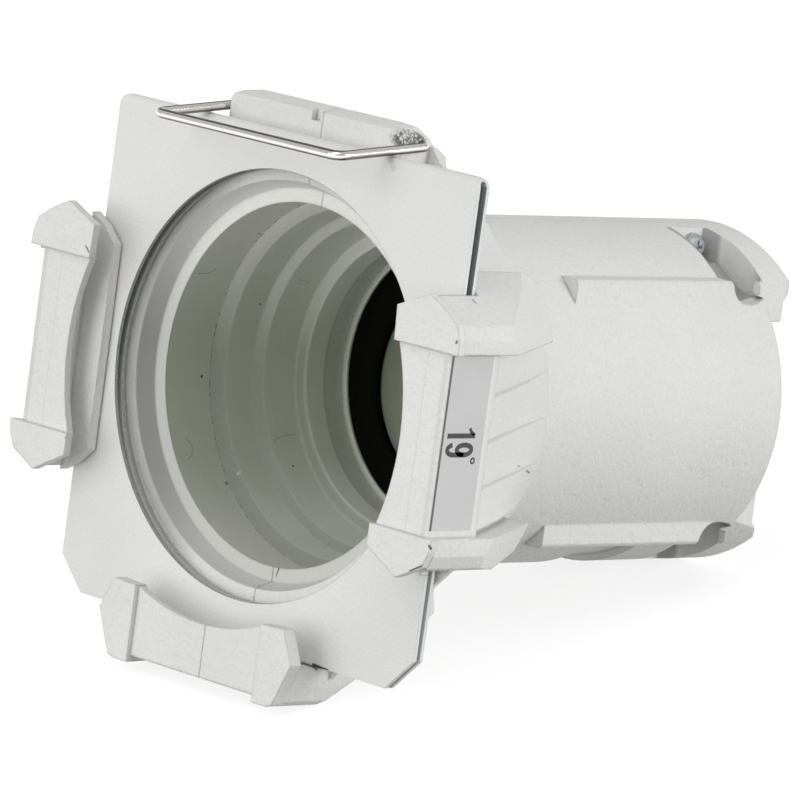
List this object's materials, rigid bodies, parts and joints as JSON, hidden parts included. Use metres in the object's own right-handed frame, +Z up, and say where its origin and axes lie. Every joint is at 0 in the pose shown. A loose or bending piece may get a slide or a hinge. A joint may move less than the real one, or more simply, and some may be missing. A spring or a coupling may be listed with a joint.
{
  "type": "stage spotlight lens tube",
  "caption": "Lens tube of an ellipsoidal stage spotlight: split round barrel, flared square front with frame slots, colour frame, hinged wire bail and lens.",
  "frame": {"origin": "on the optical axis, at the front face of the colour frame", "axes": "+Y along the optical axis from the open front to the rear of the tube, +Z up towards the bail, +X to the side that carries the label"},
  "size_m": [0.1906, 0.2153, 0.1792],
  "materials": {
    "white_coat": "satin white powder coat with a fine orange-peel texture",
    "frame_paint": "satin white paint on thin sheet steel, bare cut edges",
    "bright_wire": "bright drawn wire",
    "lens_glass": "polished, faint green tint",
    "black_rubber": "matt black",
    "label_film": "matt light grey film",
    "zinc_plate": "zinc plated"
  },
  "bodies": {
    "tube": {"barrel_half_right": "white_coat", "barrel_half_left": "white_coat", "lens": "lens_glass", "lens_ring_front": "black_rubber", "lens_ring_rear": "black_rubber", "label_plate": "label_film", "screw_rear_top": "zinc_plate", "washer_rear_top": "zinc_plate", "nut_washer_rear_top": "zinc_plate", "nut_rear_top": "zinc_plate", "screw_rear_bottom": "zinc_plate", "washer_rear_bottom": "zinc_plate", "nut_washer_rear_bottom": "zinc_plate", "nut_rear_bottom": "zinc_plate", "screw_front_top": "zinc_plate", "washer_front_top": "zinc_plate", "screw_front_bottom": "zinc_plate", "washer_front_bottom": "zinc_plate"},
    "frame": {"gel_frame": "frame_paint"},
    "bail": {"retaining_bail": "bright_wire"}
  },
  "joints": [
    {"name": "gel_frame_lift", "type": "slide", "parent": "tube", "child": "frame", "axis": [0, 0, 1], "range_m": [0, 0.0253]},
    {"name": "bail_hinge", "type": "hinge", "parent": "tube", "child": "bail", "pos_m": [0, 0.016, 0.0823], "axis": [-1, 0, 0], "range_deg": [0, 145]}
  ],
  "couplings": [
    {"joint": "bail_hinge", "follows": "gel_frame_lift", "rad_per_m": 100}
  ]
}
